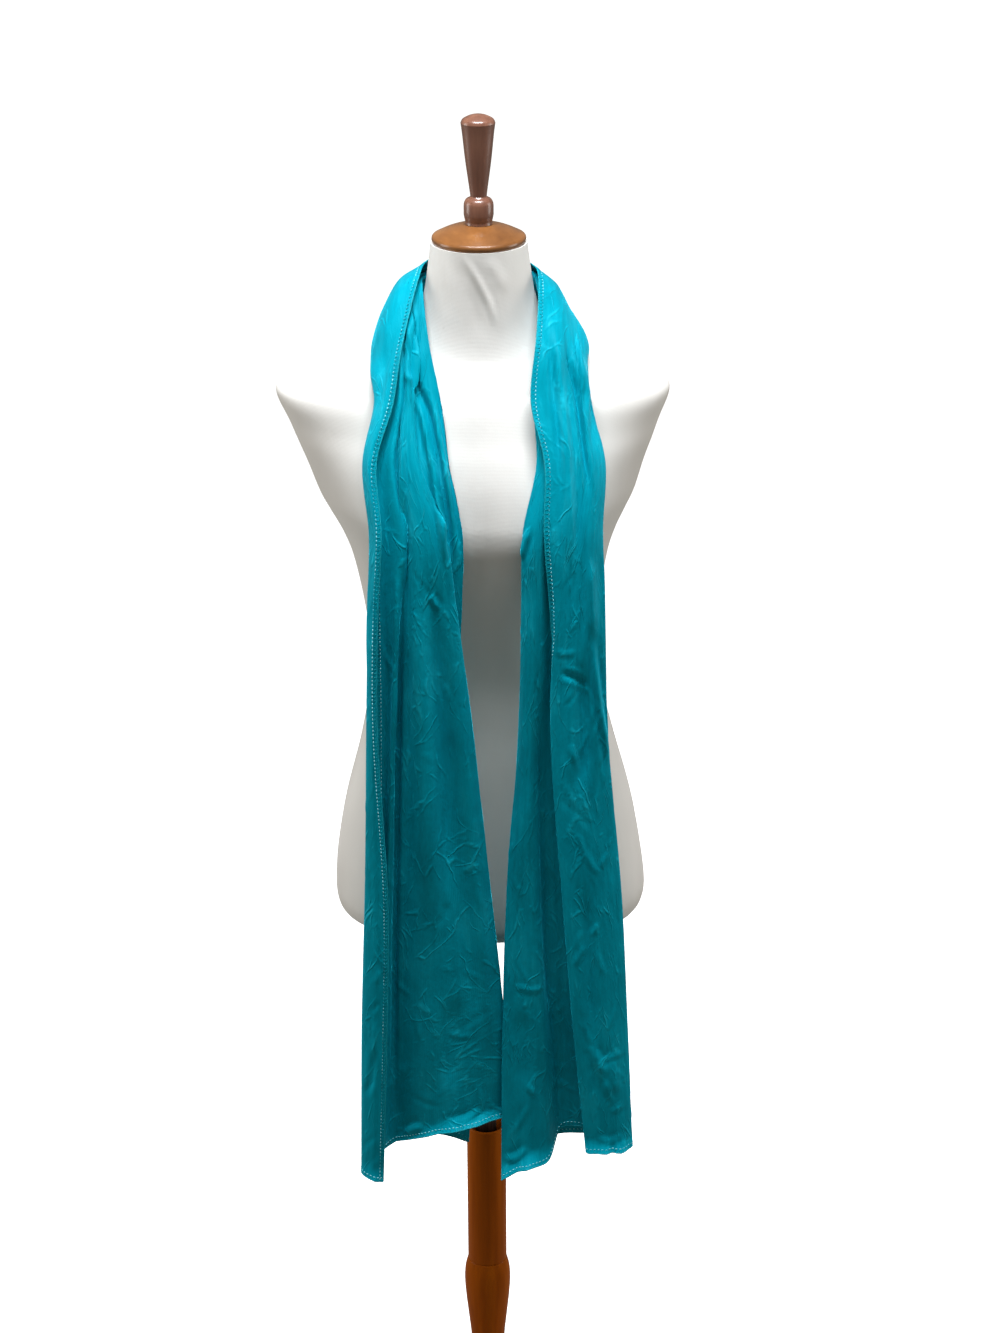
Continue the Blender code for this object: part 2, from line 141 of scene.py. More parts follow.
# Where the scarf runs: at each station the roll lies across the line from `inner` to `outer`,
# and `reach` says how many millimetres of a fold's `across` value that line stands for
STATIONS = (
    # name, inner x, y, z, outer x, y, z, reach
    ("right_hem", 0, -133, 570, -100, -133, 570, 100),
    ("right_thigh", 4.5, -134, 720, -100, -134, 720, 100),
    ("right_hip", 0, -134, 857, -100, -134, 857, 100),
    ("right_waist", 0, -134, 1077, -100, -134, 1077, 100),
    ("right_rib", 0, -134, 1180, -100, -131, 1180, 100),
    ("right_bust", 1, -132, 1250, -100, -123, 1250, 100),
    ("right_upper_bust", 8, -117, 1310, -100, -103, 1307, 100),
    ("right_chest", 0, -87.5, 1366.5, -100, -77.5, 1355, 100),
    ("right_shoulder", -46, -57, 1413, -100, -52, 1386, 62),
    ("right_top", -53.5, -11, 1460, -99, -3, 1404, 72),
    ("right_side", -51.5, 22, 1463, -89, 39, 1400, 76),
    ("right_back", -32.5, 49, 1463, -53, 73.5, 1395, 78),
    ("nape", 0, 58.5, 1463, 0, 86, 1393, 78),
    ("left_back", 33, 49.5, 1463, 53.5, 74, 1395, 78),
    ("left_side", 50.5, 22, 1463, 89, 38, 1400, 76),
    ("left_top", 54, -11, 1460, 102.5, -4, 1400, 72),
    ("left_shoulder", 51, -57, 1413, 103, -52, 1386, 62),
    ("left_chest", 0, -86.5, 1365.5, 100, -75.5, 1353.5, 100),
    ("left_upper_bust", -3, -117, 1310, 99, -103, 1307, 100),
    ("left_bust", 0, -132, 1250, 100, -123, 1250, 100),
    ("left_rib", 0, -134, 1180, 100, -131, 1180, 100),
    ("left_waist", 0, -134, 1077, 100, -134, 1077, 100),
    ("left_hip", 0, -134, 857, 100, -134, 857, 100),
    ("left_thigh", 0, -134, 720, 100, -134, 720, 100),
    ("left_hem", 0, -133, 570, 100, -133, 570, 100),
)

# One row per fold line, from the stitched edge that shows in front to the edge tucked inside the
# roll. Each pair is how far across the station's line the fold lies, and how far out of it.
RIGHT_FOLDS = (
    # fold, hem height, hem, hip, waist, bust, chest, shoulder, top
    ("front_edge", 541, (107.6, 30), (96.5, 27), (103, 24), (93.5, 21), (80, 19), (26, 16), (-1, 6.5)),
    ("flap", 545, (118, 32), (108, 29), (108, 25.5), (99, 22), (90, 20.5), (42.5, 17), (29, 16.5)),
    ("outer_fold", 551, (129, 20), (118.5, 19), (112, 16), (104.5, 12), (100, 10), (62.5, 5), (75, 1)),
    ("back_outer", 572, (92, 0), (84, 0), (85, 0), (84, 1.5), (88, -3.5), (50, -8), (60, -10)),
    ("back_inner", 576, (52, -5), (46, -4), (50, -2), (42, 0.5), (62, -4.5), (28, -9), (30, -10)),
    ("inner_fold", 569, (18, 0), (9, 0), (24, 1), (18.5, 5), (37, 2), (3, -1), (4, -2)),
    ("crevice", 588, (40, 6), (33, 6), (46, 6), (45, 7.5), (66, 5), (16, 3.5), (11, 2.5)),
    ("panel_fold", 606, (-19, 8), (-7.5, 10), (14.5, 11), (35, 14), (61.5, 11), (15, 8), (15, 6)),
    ("panel", 602, (28, 22), (36, 20), (40, 17), (48, 17), (65, 15), (21, 9.5), (20, 5.5)),
    ("panel_outer", 590, (64, 20), (62, 19), (62, 16.5), (62, 16), (68.5, 14.5), (24, 8), (25, 5)),
    ("valley", 573, (95, 5), (88, 5.5), (80, 6), (72.5, 9), (71, 9), (27, 6), (29, 4)),
    ("ridge", 571, (106, 16), (97, 15.5), (85.5, 15.5), (76, 15), (74.5, 14), (31, 8.5), (33, 5.5)),
    ("inner_valley", 571, (111, 12), (101.5, 11.5), (93.7, 9), (90.5, 9), (81.5, 7), (37, 3.5), (39, 1.5)),
    ("hidden_edge", 571, (118, 19), (107.5, 16.5), (102.5, 13), (99.5, 12), (89, 9), (45, 5.5), (48, 2.5)),
)
NAPE_FOLDS = (
    # across and out at the nape, for the same fold lines in the same order
    (-1, 4.5), (40, 10.5), (68, 6), (76, -3), (58, -9), (32, -9), (10, -7),
    (3, -1), (14, 4), (27, 5.5), (38, 2), (47, 3.5), (55, 1), (62, -1),
)
LEFT_FOLDS = (
    # fold, hem height, hem, hip, waist, bust, chest, shoulder, top
    ("front_edge", 580, (109, 25), (85, 21), (72.5, 14.5), (58.5, 16), (46, 15), (-2, 12.5), (-2, 5.5)),
    ("edge_turn", 577, (103, 31), (79, 26.5), (66, 19), (74, 19), (69, 19), (22, 16.5), (19, 11.5)),
    ("gather_crease", 577, (121, 33), (100, 29), (85, 21), (86.5, 17), (88.5, 16.5), (41, 12.5), (42, 8.5)),
    ("second_ridge", 577, (138.5, 29), (122, 25), (106, 20), (101, 18.5), (97, 16.5), (52, 11.5), (59, 6)),
    ("outer_fold", 577, (150, 19), (137.5, 16), (120.5, 13), (115, 11), (104.5, 9), (60.5, 2), (74, -2)),
    ("back_outer", 577, (115, 0), (106, 0), (98, 0), (98, 2), (92, -3), (46, -8), (56, -10)),
    ("back_inner", 570, (60, -5), (58, -4), (66, -2), (70, 1), (74, -4), (24, -9), (26, -10)),
    ("inner_fold", 540, (15, 20), (22, 10), (37.8, 3), (40, 5), (51, 1), (6, -1), (5, -2)),
    ("front_lobe", 554, (40, 22), (38, 15), (48, 11), (49, 12), (60, 8.5), (13, 6), (13, 4)),
    ("lobe_outer", 558, (64, 18), (56, 14), (57, 12), (57, 12.5), (66, 10), (21, 7.5), (22, 5)),
    ("recess", 584, (76, 2), (69, 3.5), (67, 5), (66, 7), (72, 9), (29, 6), (31, 3)),
    ("hidden_rise", 590, (93, 4), (82, 5), (77, 6.5), (77, 8.5), (80, 9), (36, 5.5), (40, 3)),
    ("hidden_fall", 588, (108, 9), (94, 8), (87, 8.5), (87, 9), (82.5, 7), (43, 3.5), (49, 0.5)),
    ("hidden_edge", 585, (124, 15), (108, 13), (100, 10.5), (100, 11), (88.5, 7.5), (50, 2.5), (58, -1)),
)
FOLD_STATIONS = ("hem", "hip", "waist", "bust", "chest", "shoulder", "top")

# Main creases of the two tails, seen from the front: the folds they run over, how wide they are,
# how high they stand (troughs are negative) and the x and z of the points they run through
TAIL_CREASES = (
    # first, last, width, height, points
    (5.1, 9.2, 3.2, 3.7, ((-61.8, 1440), (-66.5, 1421), (-73, 1400))),
    (5.1, 9.2, 3, -5.4, ((-60.5, 1425), (-62.6, 1411), (-61.4, 1381), (-45.1, 1339))),
    (5.1, 8.6, 2.3, -6.6, ((-56, 1384), (-47.3, 1345), (-38.5, 1305), (-32.4, 1265), (-28.2, 1215))),
    (5.2, 8.4, 2.5, 4.8, ((-61, 1380), (-53.5, 1345), (-45, 1305), (-39, 1265), (-34, 1215))),
    (5.1, 8.2, 2.5, 4.6, ((-50, 1392), (-42, 1355), (-33, 1312), (-26, 1265))),
    (5.1, 8, 2.4, -4.4, ((-46.5, 1380), (-37.7, 1352), (-29, 1305), (-22.5, 1262), (-19, 1225))),
    (7.6, 9.9, 2.4, -3.4, ((-72.7, 1432), (-65.4, 1392), (-57.2, 1371))),
    (7.6, 9.9, 2.6, 3.1, ((-69, 1392), (-60, 1377), (-55, 1368))),
    (8.6, 10.6, 2.2, 4, ((-71.8, 1384), (-73.6, 1285), (-76, 1184), (-78, 1142))),
    (9.4, 11.2, 2.6, -5.4, (
        (-74.5, 1240), (-79.2, 1142), (-83.6, 1015), (-86.6, 916), (-91, 802), (-97, 590),
    )),
    (10.2, 12.4, 2.4, 2.1, ((-80, 1245), (-82, 1142), (-87.5, 1015))),
    (7.2, 9.6, 9, -5.1, ((-46, 1230), (-43.5, 1120), (-38, 1014), (-32.6, 860))),
    (7.6, 9.6, 10, 3, ((-61, 1200), (-58, 1080), (-55, 930), (-50, 800))),
    (6.8, 8.6, 8, 3.3, ((-24, 1140), (-14, 980), (-4, 820), (4, 700))),
    (7.4, 9.4, 2.6, 1.9, ((-49.5, 1193), (-42.1, 1176))),
    (7.2, 9.2, 2.4, 0.6, ((-36, 1100), (-32, 1078))),
    (7, 8.8, 2.6, 0.7, ((-12, 905), (-7, 866), (-3, 850))),
    (7.2, 9.2, 12, -2.6, ((-30, 760), (-34, 690), (-36, 640))),
    (7.2, 9, 2.8, 0.6, ((-40.4, 714), (-26, 707), (-10.8, 709))),
    (7.2, 9, 2.6, 0.9, ((-9.3, 652), (-6, 634), (-2.3, 614))),
    (7, 9.2, 3.4, 2.2, ((-44, 606), (-22, 610), (-2, 619))),
    (8.4, 9.9, 3.4, 2, ((-86, 586), (-78, 592), (-64, 602))),
    (7.6, 9.4, 2.4, 0.6, ((-72, 735), (-66, 700))),
    (-0.2, 1.9, 2.6, 0.7, ((-106, 792), (-109.5, 776))),
    (-0.2, 1.9, 2.8, 0.7, ((-111, 735), (-115, 690))),
    (-0.2, 1.9, 3, -1.4, ((-124, 640), (-117, 662), (-113, 700))),
    (0.6, 2.2, 5, 2.7, ((-85, 1440), (-101, 1400), (-106, 1360))),
    (0.2, 1.8, 4, -2.7, ((-76, 1430), (-92, 1392), (-100, 1350))),
    (1, 2.6, 6, 2.1, ((-113, 1300), (-112, 1200), (-114, 1100))),
    (2.4, 3.8, 2.9, 4.8, ((78.3, 1438), (92, 1410), (101, 1370), (104, 1330))),
    (1.6, 3.2, 2.5, -6.2, ((74, 1440), (80.4, 1420), (91, 1375), (96, 1334), (103.2, 1281))),
    (0.6, 2.2, 3.1, -4, ((62, 1442), (68, 1405), (72, 1350), (76, 1300))),
    (0.8, 2.4, 4.2, 4, ((66, 1430), (74, 1400), (80, 1340), (84, 1270), (86, 1200))),
    (0.3, 1.5, 3, 2, ((55, 1440), (60, 1400), (62, 1350))),
    (2.6, 3.8, 5, 3, ((103, 1230), (105, 1190), (107, 1140))),
    (2.6, 3.9, 2.6, 3.6, ((106.5, 1150), (108.6, 1120), (113, 1078), (119, 1040), (122, 1010))),
    (1.8, 3.2, 7, -4.5, ((93, 1130), (97, 1090), (99, 1030), (96, 980))),
    (0, 2.6, 2.6, 0.7, ((68, 1134), (80, 1131), (92, 1133))),
    (0, 2.6, 3, -2.7, ((74, 1113), (88, 1107), (98, 1100), (106, 1090))),
    (1.2, 3.4, 2.6, 0.7, ((82, 1109), (96, 1100), (106, 1086))),
    (0.8, 2.6, 2.6, 0.8, ((85.8, 1040), (88.5, 1016))),
    (0.6, 2.4, 2.6, 0.7, ((79.5, 996), (87.5, 972))),
    (0.8, 2.6, 2.6, 0.7, ((92.5, 942), (99, 918))),
    (1.6, 3.2, 2.8, 1, ((113, 1036), (117, 1010), (122, 986))),
    (0.8, 3, 3, 0.8, ((98, 924), (106, 908), (114, 894))),
    (1.8, 3.2, 2.6, 0.8, ((115.5, 902), (123, 919))),
    (1, 2.8, 2.8, 0.8, ((89.5, 794), (95, 806), (100.5, 817))),
    (1.4, 3, 2.6, 0.8, ((106.5, 826), (113.5, 842))),
    (1.8, 3.4, 2.6, 0.7, ((112, 812), (119, 782))),
    (1.4, 3.4, 2.6, 0.9, ((116, 683), (128, 688), (141, 690))),
    (1.8, 3.6, 2.6, 0.8, ((127, 622), (142, 629))),
    (1.4, 3.2, 2.8, 0.8, ((120.5, 664), (125, 646), (131, 632))),
    (1.2, 3.2, 4, 1.8, ((108, 704), (112, 690), (119, 668))),
    (1.6, 3.4, 9, 1.8, ((122, 690), (128, 665), (130, 640))),
    (0.6, 2.2, 9, -2.4, ((100, 900), (107, 800), (112, 700))),
    (7.2, 9.2, 2.8, 0.8, ((54.6, 922), (58.6, 871), (62, 850))),
    (7.2, 9.4, 2.6, 0.9, ((28, 764), (45, 760), (62, 762))),
    (7.4, 9.2, 2.4, 0.7, ((43, 652), (50, 633))),
    (6.8, 8.6, 7, 3, ((44, 1180), (43, 1080), (40, 960), (34, 840))),
    (8.2, 9.8, 8, -6.5, ((57, 1130), (58, 1010), (62, 880), (68, 760), (74, 650))),
    (7, 9, 11, -1.6, ((34, 740), (40, 690), (44, 640))),
    (7, 8.8, 3.4, 2.2, ((16, 560), (30, 562), (44, 574))),
    (0.4, 3.6, 3.2, 1, ((112, 592), (128, 588), (144, 592))),
    (7.2, 8.8, 2.6, 2.4, ((45, 1255), (40, 1235), (38, 1222))),
)

# Creases of the stretch round the nape: width, height, and points of fold number and of length
# along the scarf, measured from the middle of the nape
NECK_CREASES = (
    # width, height, points
    (4, -2.4, ((1.5, -140), (1.9, -60), (1.6, 30), (1.8, 135))),
    (3.4, 1.6, ((0.8, -130), (1, -40), (0.7, 40))),
    (3.4, 1.8, ((1.1, 10), (1.3, 70), (1, 140))),
    (3.2, -1.8, ((0.4, -60), (0.6, 0), (0.5, 90))),
    (4.6, 2.2, ((2.3, -150), (2.1, -90), (2.4, -20))),
    (3.8, -1.8, ((2.5, -70), (2.3, 20), (2.6, 100))),
    (4, 1.8, ((2, 40), (2.3, 90), (2.1, 150))),
    (3.2, 1.2, ((1.4, -35), (2, -5), (2.2, 35))),
    (3, -1.2, ((0.9, -95), (1.5, -70), (1.9, -45))),
)

# The same creases show on the backs of the tails: through which folds, how much lower, how much
# shallower and how much wider
BACK_FOLDS = (2.9, 5.6)
BACK_DROP = 41.0
BACK_HEIGHT = 0.8
BACK_WIDTH = 1.3

# How far from the nape the neck's creases give way to those of the tails
NAPE_BLEND = (75, 115)

SEED = 11
CRUMPLES = 240  # small creases left by handling, over both faces of the tails
CRUMPLE_REACH = 34  # how far a crumple shows from its middle

# How far the cloth flares out at its hems, by fold, and how far up the flare reaches
FLARE_REACH = 15.0
RIGHT_FLARE = (
    (0, 2), (1, 3.6), (2, 2.4), (3, 0.6), (6, 0.6), (7, 6), (8, 8), (9, 4.8), (10, 0.8), (13, 0.8),
)
LEFT_FLARE = (
    (0, 0.8), (1, 4.6), (3, 7), (4, 2.4), (5, 0.5), (6, 0.8), (7, 9), (8, 9), (9, 3.4), (10, 0.6),
    (13, 0.6),
)

# Light, in metres and watts
LIGHTS = (
    # name, place, aim, size, power, colour
    ("overhead", (0.0, -0.36, 3.0), (0.0, -0.08, 1.2), (1.0, 0.4), 67.0, (0.95, 0.985, 1.03)),
    ("side_fill", (-2.6, 0.05, 1.6), (0.0, 0.0, 1.1), (1.2, 2.0), 34.0, (1.0, 0.98, 0.95)),
    ("side_fill", (2.6, 0.05, 1.6), (0.0, 0.0, 1.1), (1.2, 2.0), 28.0, (1.0, 0.98, 0.95)),
)
SURROUND_COLOUR = (1.0, 0.96, 0.87, 1.0)
SURROUND = 0.23
FLOOR_GLOW = 0.9
FLOOR_DROP = 0.0006

# Dark, middle and light tones of the wood
RED = ((0.085, 0.034, 0.020), (0.16, 0.066, 0.040), (0.23, 0.105, 0.062))
AMBER = ((0.10, 0.036, 0.010), (0.21, 0.082, 0.022), (0.40, 0.18, 0.055))
BROWN = ((0.24, 0.050, 0.001), (0.34, 0.074, 0.002), (0.43, 0.104, 0.003))


def spline(knots, values, at):
    """Smooth curve through `values` at `knots` (Catmull-Rom tangents), read at `at`."""
    knots = np.asarray(knots, float)
    values = np.asarray(values, float)
    at = np.clip(np.asarray(at, float), knots[0], knots[-1])
    slopes = np.gradient(values, knots, axis=0)
    span = np.clip(np.searchsorted(knots, at, side="right") - 1, 0, len(knots) - 2)
    width = knots[span + 1] - knots[span]
    t = (at - knots[span]) / width
    shape = (-1,) + (1,) * (values.ndim - 1)
    t = t.reshape(shape)
    width = width.reshape(shape)
    return (
        (2 * t**3 - 3 * t**2 + 1) * values[span]
        + (t**3 - 2 * t**2 + t) * width * slopes[span]
        + (3 * t**2 - 2 * t**3) * values[span + 1]
        + (t**3 - t**2) * width * slopes[span + 1]
    )


def unit(vectors):
    return vectors / np.linalg.norm(vectors, axis=-1, keepdims=True)


def path_length(points):
    steps = np.linalg.norm(np.diff(points, axis=0), axis=1)
    return np.concatenate([[0.0], np.cumsum(steps)])


class Scarf:
    """The scarf's middle surface, read at a length along it and a fold number across it."""

    def __init__(self):
        names = [row[0] for row in STATIONS]
        inner = np.array([row[1:4] for row in STATIONS], float)
        outer = np.array([row[4:7] for row in STATIONS], float)
        reach = np.array([row[7] for row in STATIONS], float)
        middle = (inner + outer) / 2
        self.lengths = path_length(middle)
        self.station_length = dict(zip(names, self.lengths))
        along = unit(np.gradient(middle, self.lengths, axis=0))
        across = (outer - inner) / reach[:, None]
        out = unit(np.cross(along, unit(across)))
        self.out = out
        folds = self.fold_values(names)
        offsets = folds[:, :, :1] * across[:, None, :] + folds[:, :, 1:] * out[:, None, :]
        self.points = inner[:, None, :] + offsets
        self.drop_hems()

    def fold_values(self, names):
        """Across and out of every fold at every station, smooth between the stations that list them."""
        listed = ["right_" + name for name in FOLD_STATIONS] + ["nape"]
        listed += ["left_" + name for name in reversed(FOLD_STATIONS)]
        rows = [[row[2 + i] for row in RIGHT_FOLDS] for i in range(len(FOLD_STATIONS))]
        rows.append(NAPE_FOLDS)
        rows += [[row[2 + i] for row in LEFT_FOLDS] for i in reversed(range(len(FOLD_STATIONS)))]
        knots = [self.station_length[name] for name in listed]
        return spline(knots, np.array(rows, float), [self.station_length[name] for name in names])

    def drop_hems(self):
        """Each fold line ends at its own height, so the hems hang unevenly."""
        self.points[0, :, 2] = [row[1] for row in RIGHT_FOLDS]
        self.points[-1, :, 2] = [row[1] for row in LEFT_FOLDS]

    def surface(self, lengths, folds):
        lines = spline(self.lengths, self.points, lengths)
        rows = spline(np.arange(lines.shape[1]), lines.transpose(1, 0, 2), folds)
        return rows.transpose(1, 0, 2) * MM


def fold_positions():
    """Fold numbers of the columns, each span of folds with its own count."""
    steps = []
    for span, count in enumerate(SPAN_COLUMNS):
        steps += [span + i / count for i in range(count)]
    return np.array(steps + [len(SPAN_COLUMNS)], float)


def grid_normals(points):
    """Unit normals of a grid of points, from its two directions."""
    along = np.gradient(points, axis=0)
    across = np.gradient(points, axis=1)
    return unit(np.cross(along, across))


def smooth_step(values, start, end):
    """0 at `start`, 1 at `end`, smooth between, either way round."""
    t = np.clip((values - start) / (end - start), 0, 1)
    return t * t * (3 - 2 * t)


def smooth_noise(rng, u, v, cell_u, cell_v):
    """Smooth random field over u and v, -1 to 1, with its own cell each way."""
    count_u = int((u.max() - u.min()) / cell_u) + 4
    count_v = int((v.max() - v.min()) / cell_v) + 4
    knots = rng.uniform(-1, 1, (count_u, count_v))
    fu = (u - u.min()) / cell_u + 1
    fv = (v - v.min()) / cell_v + 1
    iu = fu.astype(int)
    iv = fv.astype(int)
    tu = fu - iu
    tv = fv - iv
    tu = tu * tu * (3 - 2 * tu)
    tv = tv * tv * (3 - 2 * tv)
    low = knots[iu, iv] * (1 - tv) + knots[iu, iv + 1] * tv
    high = knots[iu + 1, iv] * (1 - tv) + knots[iu + 1, iv + 1] * tv
    return low * (1 - tu) + high * tu


def crease(aside, ahead, points, width, height):
    """Height of one crease over a grid of places, from the points that the crease runs through."""
    points = np.array(points, float)
    reach = path_length(points)
    near = np.full(aside.shape, np.inf)
    along = np.zeros(aside.shape)
    for i in range(len(points) - 1):
        step = points[i + 1] - points[i]
        length = np.hypot(step[0], step[1])
        across, onward = aside - points[i, 0], ahead - points[i, 1]
        t = np.clip((across * step[0] + onward * step[1]) / length**2, 0, 1)
        distance = np.hypot(across - t * step[0], onward - t * step[1])
        closer = distance < near
        near = np.where(closer, distance, near)
        along = np.where(closer, (reach[i] + t * (reach[i + 1] - reach[i])) / reach[-1], along)
    fade = smooth_step(along, 0.0, 0.3) * smooth_step(along, 1.0, 0.7)
    shape = np.exp(-((near / width) ** 2)) - 0.3 * np.exp(-(((near - 1.9 * width) / width) ** 2))
    return height * shape * fade


def fold_window(fold, first, last):
    """1 between two folds, fading out within a third of a fold beyond them."""
    return smooth_step(fold, first - 0.3, first + 0.1) * smooth_step(fold, last + 0.3, last - 0.1)


def tail_creases(x, z, fold):
    """Every listed crease of the tails, and the other tail's creases mirrored on their backs."""
    height = np.zeros_like(x)
    for first, last, width, rise, points in TAIL_CREASES:
        height += crease(x, z, points, width, rise) * fold_window(fold, first, last)
        behind = [(-px, pz - BACK_DROP) for px, pz in points]
        mirrored = crease(x, z, behind, BACK_WIDTH * width, rise)
        height -= BACK_HEIGHT * mirrored * fold_window(fold, *BACK_FOLDS)
    return height


def crumple_height(rng, u, v, lower):
    """Small sharp creases at random over the cut, more of them on the lower ends of the tails."""
    height = np.zeros_like(u)
    for _ in range(CRUMPLES):
        middle_u = rng.uniform(u[0, 0], u[0, -1])
        end = rng.choice([-1, 1])
        toward_hem = 1 - rng.uniform(0, 1) ** 1.7 * 0.75
        middle_v = end * toward_hem * v[-1, 0] / 2 + v[-1, 0] / 2
        lean = rng.choice([-1, 1]) * rng.uniform(0.05, 0.7)
        half = rng.uniform(7, 24)
        width = rng.uniform(1.9, 3.2)
        rise = rng.uniform(0.12, 0.5) * rng.choice([-1, 1, 1])
        bend = rng.uniform(-3, 3)
        points = (
            (middle_u - half * math.sin(lean), middle_v - half * math.cos(lean)),
            (middle_u + bend, middle_v),
            (middle_u + half * math.sin(lean), middle_v + half * math.cos(lean)),
        )
        rows = slice(*np.searchsorted(v[:, 0], [middle_v - CRUMPLE_REACH, middle_v + CRUMPLE_REACH]))
        columns = slice(*np.searchsorted(u[0], [middle_u - CRUMPLE_REACH, middle_u + CRUMPLE_REACH]))
        height[rows, columns] += crease(u[rows, columns], v[rows, columns], points, width, rise)
    return height * lower


def hem_flare(fold, from_hem, table):
    """How far the cloth turns out near a hem."""
    folds, amounts = np.array(table, float).T
    rise = np.clip(1 - from_hem / FLARE_REACH, 0, 1) ** 2
    return np.interp(fold, folds, amounts) * rise


class Cloth:
    """The scarf's middle surface in millimetres, with creases, and each point's place in the cut."""

    def __init__(self, form_tree):
        scarf = Scarf()
        self.folds = fold_positions()
        lengths = np.linspace(0, scarf.lengths[-1], SCARF_ROWS)
        points = scarf.surface(lengths, self.folds) / MM
        outward = unit(spline(scarf.lengths, scarf.out, lengths))[:, None, :]
        steps = np.linalg.norm(np.diff(points, axis=1), axis=2).mean(axis=0)
        self.u = np.concatenate([[0.0], np.cumsum(steps)])
        self.v = lengths
        u, v = np.broadcast_arrays(self.u[None, :], self.v[:, None])
        fold = np.broadcast_to(self.folds[None, :], u.shape)
        from_nape = v - scarf.station_length["nape"]
        ends = [scarf.station_length[name] for name in ("right_top", "left_top")]
        self.seams = np.searchsorted(lengths, ends)

        normals = grid_normals(points)
        facing = np.clip((normals * outward).sum(axis=2) / 0.3, -1, 1)
        on_tails = smooth_step(np.abs(from_nape), *NAPE_BLEND)
        height = tail_creases(points[..., 0], points[..., 2], fold) * on_tails
        for width, rise, path in NECK_CREASES:
            places = [(np.interp(at, self.folds, self.u), ahead) for at, ahead in path]
            height += crease(u, from_nape, places, width, rise) * (1 - on_tails)
        points = points + normals * (facing * height)[..., None]

        # The drape's long swells, the gathers round the neck and the crumples, each by its own size
        rng = np.random.default_rng(SEED)
        lower = 0.35 + 0.65 * smooth_step(np.abs(from_nape), 250, 520)
        drape = 0.8 * smooth_noise(rng, u, v, 34, 230) + 0.3 * smooth_noise(rng, u, v, 15, 120)
        gather = smooth_step(np.abs(from_nape), 300, 60)
        gathers = gather * (0.55 * smooth_noise(rng, u, v, 7, 110) + 0.5 * smooth_noise(rng, u, v, 12, 70))
        crumples = crumple_height(rng, u, v, lower)
        points = points + normals * (drape + gathers + crumples)[..., None]

        ripple = 1.0 + 0.45 * smooth_noise(rng, u, v, 9, 400)
        flare = hem_flare(fold, v, RIGHT_FLARE) + hem_flare(fold, lengths[-1] - v, LEFT_FLARE)
        points = points + outward * (flare * ripple)[..., None]
        self.points = clear_of(form_tree, points, CLEAR + CLOTH / 2)
        self.normals = grid_normals(self.points)


def clear_of(tree, points, gap):
    """Moves points that lie closer than `gap` to the form straight out to it."""
    flat = points.reshape(-1, 3).copy()
    for i, point in enumerate(flat):
        nearest, normal, _, _ = tree.find_nearest(point)
        signed = (Vector(point) - nearest).dot(normal)
        if signed < gap:
            flat[i] = nearest + normal * gap
    return flat.reshape(points.shape)


def mesh_object(name, points, faces, material, smooth_angle=None):
    """A mesh in millimetres, made into an object in metres."""
    mesh = bpy.data.meshes.new(name)
    mesh.from_pydata((np.asarray(points).reshape(-1, 3) * MM).tolist(), [], faces)
    mesh.update()
    mesh.shade_smooth()
    if smooth_angle:
        mesh.set_sharp_from_angle(angle=math.radians(smooth_angle))
    obj = bpy.data.objects.new(name, mesh)
    bpy.context.scene.collection.objects.link(obj)
    mesh.materials.append(material)
    return obj


def grid_faces(rows, columns, start=0, flip=False, wrap=False):
    """Quads of a grid whose points are numbered row by row."""
    faces = []
    for r in range(rows - 1):
        for c in range(columns if wrap else columns - 1):
            d = (c + 1) % columns
            a = start + r * columns
            b = a + columns
            quad = (a + c, a + d, b + d, b + c)
            faces.append(quad[::-1] if flip else quad)
    return faces


def set_uv(mesh, places):
    """Writes one place in the flat cut, in metres, for each vertex."""
    layer = mesh.uv_layers.new(name="cut")
    index = np.empty(len(mesh.loops), int)
    mesh.loops.foreach_get("vertex_index", index)
    layer.data.foreach_set("uv", (places[index] * MM).astype(np.float32).ravel())


def cloth_shell(name, cloth, first, last, material):
    """One stretch of the scarf, from row to row, as a closed thin shell."""
    middle = cloth.points[first : last + 1]
    normals = cloth.normals[first : last + 1]
    rows, columns = middle.shape[:2]
    offset = normals * CLOTH / 2
    points = np.concatenate([(middle + offset).reshape(-1, 3), (middle - offset).reshape(-1, 3)])
    count = rows * columns
    faces = grid_faces(rows, columns, flip=True) + grid_faces(rows, columns, start=count)
    rim = list(range(columns))
    rim += [r * columns + columns - 1 for r in range(1, rows)]
    rim += [(rows - 1) * columns + c for c in range(columns - 2, -1, -1)]
    rim += [r * columns for r in range(rows - 2, 0, -1)]
    for a, b in zip(rim, rim[1:] + rim[:1]):
        faces.append((a, b, b + count, a + count))
    shell = mesh_object(name, points, faces, material)
    smooth = np.concatenate([normals.reshape(-1, 3), -normals.reshape(-1, 3)])
    shell.data.normals_split_custom_set_from_vertices(smooth.tolist())
    u, v = np.broadcast_arrays(cloth.u[None, :], cloth.v[first : last + 1, None])
    places = np.stack([u, v], axis=2).reshape(-1, 2)
    set_uv(shell.data, np.concatenate([places, places]))
    return shell


def inward_line(points, normals, depth):
    """Points and normals `depth` inside the first column of a grid, along each row."""
    steps = np.linalg.norm(np.diff(points, axis=1), axis=2)
    reach = np.concatenate([np.zeros((len(points), 1)), np.cumsum(steps, axis=1)], axis=1)
    line = np.empty((len(points), 3))
    face = np.empty((len(points), 3))
    for row in range(len(points)):
        for axis in range(3):
            line[row, axis] = np.interp(depth, reach[row], points[row, :, axis])
            face[row, axis] = np.interp(depth, reach[row], normals[row, :, axis])
    return line, unit(face)


